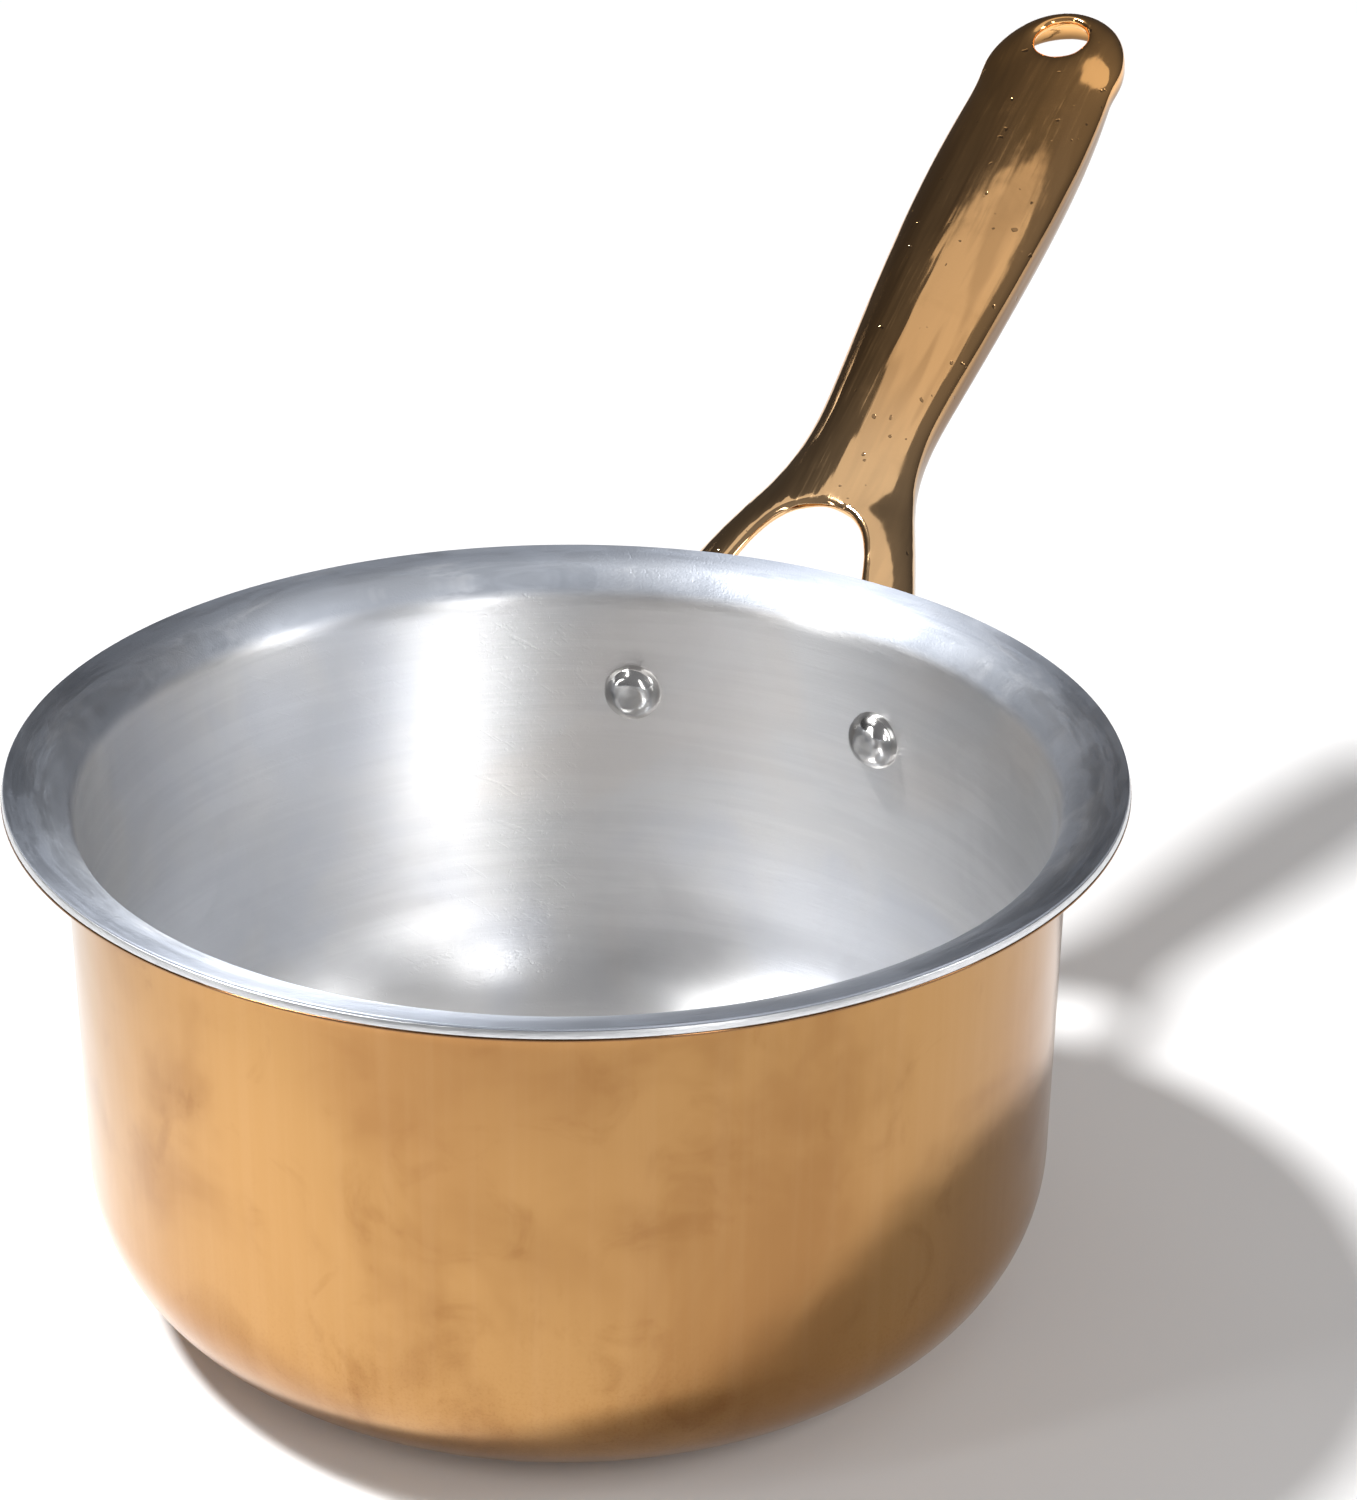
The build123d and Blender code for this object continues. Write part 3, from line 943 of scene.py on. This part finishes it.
class SAUCEPAN_OT_stage(bpy.types.Operator):
    """Makes the floor, the lights and the camera"""

    bl_idname = "saucepan.stage"
    bl_label = "Stage"

    def execute(self, context):
        settings = context.scene.saucepan
        floor = begin(
            "pale_floor", bpy.ops.mesh.primitive_plane_add, size=FLOOR_SIZE,
            location=(0.0, 0.0, -FLOOR_THICKNESS))
        bpy.ops.mesh.extrude_region_move(TRANSFORM_OT_translate={
            "value": (0.0, 0.0, FLOOR_THICKNESS)})
        bpy.ops.mesh.select_all(action="SELECT")
        bpy.ops.mesh.normals_make_consistent(inside=False)
        bpy.ops.object.mode_set(mode="OBJECT")
        floor.data.materials.append(floor_finish(settings))
        self.add_lights(context)
        self.light_room(context)
        self.add_camera(context)
        context.scene.view_settings.view_transform = "Standard"
        return {"FINISHED"}

    def add_lights(self, context):
        """The sun, the panels that the metal shows and a small pool of light on the floor."""
        towards_sun = look_from(SUN_HEADING, SUN_ELEVATION)
        bpy.ops.object.light_add(type="SUN", location=towards_sun * 2.0)
        sun = context.object
        sun.name = "key_light"
        sun.rotation_euler = (-towards_sun).to_track_quat("-Z", "Y").to_euler()
        sun.data.energy = SUN_STRENGTH
        sun.data.angle = math.radians(SUN_WIDTH)
        add_panel_light(
            "top_panel", (0.375, -0.34, 1.43), (0.375, -0.34, 0.0), 0.65, 1.84, 2.1,
            (1.0, 0.97, 0.93))
        for name, heading, elevation, distance, width, height, power in PANELS:
            add_panel_light(
                name, look_from(heading, elevation) * distance, PAN_MIDDLE, width, height, power)
        pool = add_panel_light(
            "floor_pool", (-0.14, 0.16, 0.42), (-0.105, 0.075, 0.0), 0.10, 0.10, 0.13)
        pool.data.spread = math.radians(POOL_SPREAD)

    def light_room(self, context):
        """The room seen in the metal: a lighter side, a darker side and a soft horizon."""
        world = bpy.data.worlds.new("studio_room")
        context.scene.world = world
        world.use_nodes = True
        shop = Shop(world.node_tree)
        x, y, z = shop.split(shop.node("ShaderNodeTexCoord", {}, {}, "Generated"))
        lean = x * ROOM_LEAN[0] + y * ROOM_LEAN[1] + z * ROOM_LEAN[2]
        grey = ROOM_SHADE + shop.step(lean, *ROOM_RANGE) * ROOM_LIGHT
        colour = shop.node("ShaderNodeCombineColor", {}, {
            "Red": grey, "Green": grey, "Blue": grey * ROOM_BLUE})
        background = world.node_tree.nodes["Background"]
        shop.tree.links.new(colour.socket, background.inputs["Color"])

    def add_camera(self, context):
        """The camera, which looks down into the pan along its handle's side."""
        bpy.ops.object.camera_add()
        camera = context.object
        camera.name = "camera"
        roll = math.radians(CAMERA_ROLL)
        forward = look_from(CAMERA_HEADING, -CAMERA_PITCH)
        level = forward.cross(Vector((0.0, 0.0, 1.0))).normalized()
        above = level.cross(forward)
        right = level * math.cos(roll) + above * math.sin(roll)
        up = right.cross(forward)
        pose = Matrix((right, up, -forward)).transposed().to_4x4()
        pose.translation = Vector(CAMERA_PLACE)
        camera.matrix_world = pose
        camera.data.lens = CAMERA_LENS
        camera.data.sensor_width = 36.0
        camera.data.sensor_fit = "AUTO"
        camera.data.shift_x, camera.data.shift_y = CAMERA_SHIFT
        camera.data.clip_start = 0.01
        context.scene.camera = camera


class SAUCEPAN_PT_panel(bpy.types.Panel):
    """Lists the pieces, their sizes and their colours"""

    bl_label = "Saucepan"
    bl_idname = "SAUCEPAN_PT_panel"
    bl_space_type = "VIEW_3D"
    bl_region_type = "UI"
    bl_category = "Saucepan"

    def draw(self, context):
        settings = context.scene.saucepan
        for maker, group in (
                (SAUCEPAN_OT_pan, settings.pan), (SAUCEPAN_OT_handle, settings.handle),
                (SAUCEPAN_OT_rivets, settings.rivets), (SAUCEPAN_OT_stage, settings.finishes)):
            box = self.layout.box()
            box.operator(maker.bl_idname)
            for name in group.__annotations__:
                box.prop(group, name)


CLASSES = (
    PanSizes, HandleSizes, RivetSizes, Finishes, SaucepanSettings,
    SAUCEPAN_OT_pan, SAUCEPAN_OT_handle, SAUCEPAN_OT_rivets, SAUCEPAN_OT_stage,
    SAUCEPAN_PT_panel,
)


def register():
    for kind in CLASSES:
        bpy.utils.register_class(kind)
    bpy.types.Scene.saucepan = bpy.props.PointerProperty(type=SaucepanSettings)


def unregister():
    del bpy.types.Scene.saucepan
    for kind in reversed(CLASSES):
        bpy.utils.unregister_class(kind)


def main():
    register()
    bpy.ops.saucepan.stage()
    bpy.ops.saucepan.pan()
    bpy.ops.saucepan.handle()
    bpy.ops.saucepan.rivets()


if __name__ == "__main__":
    main()
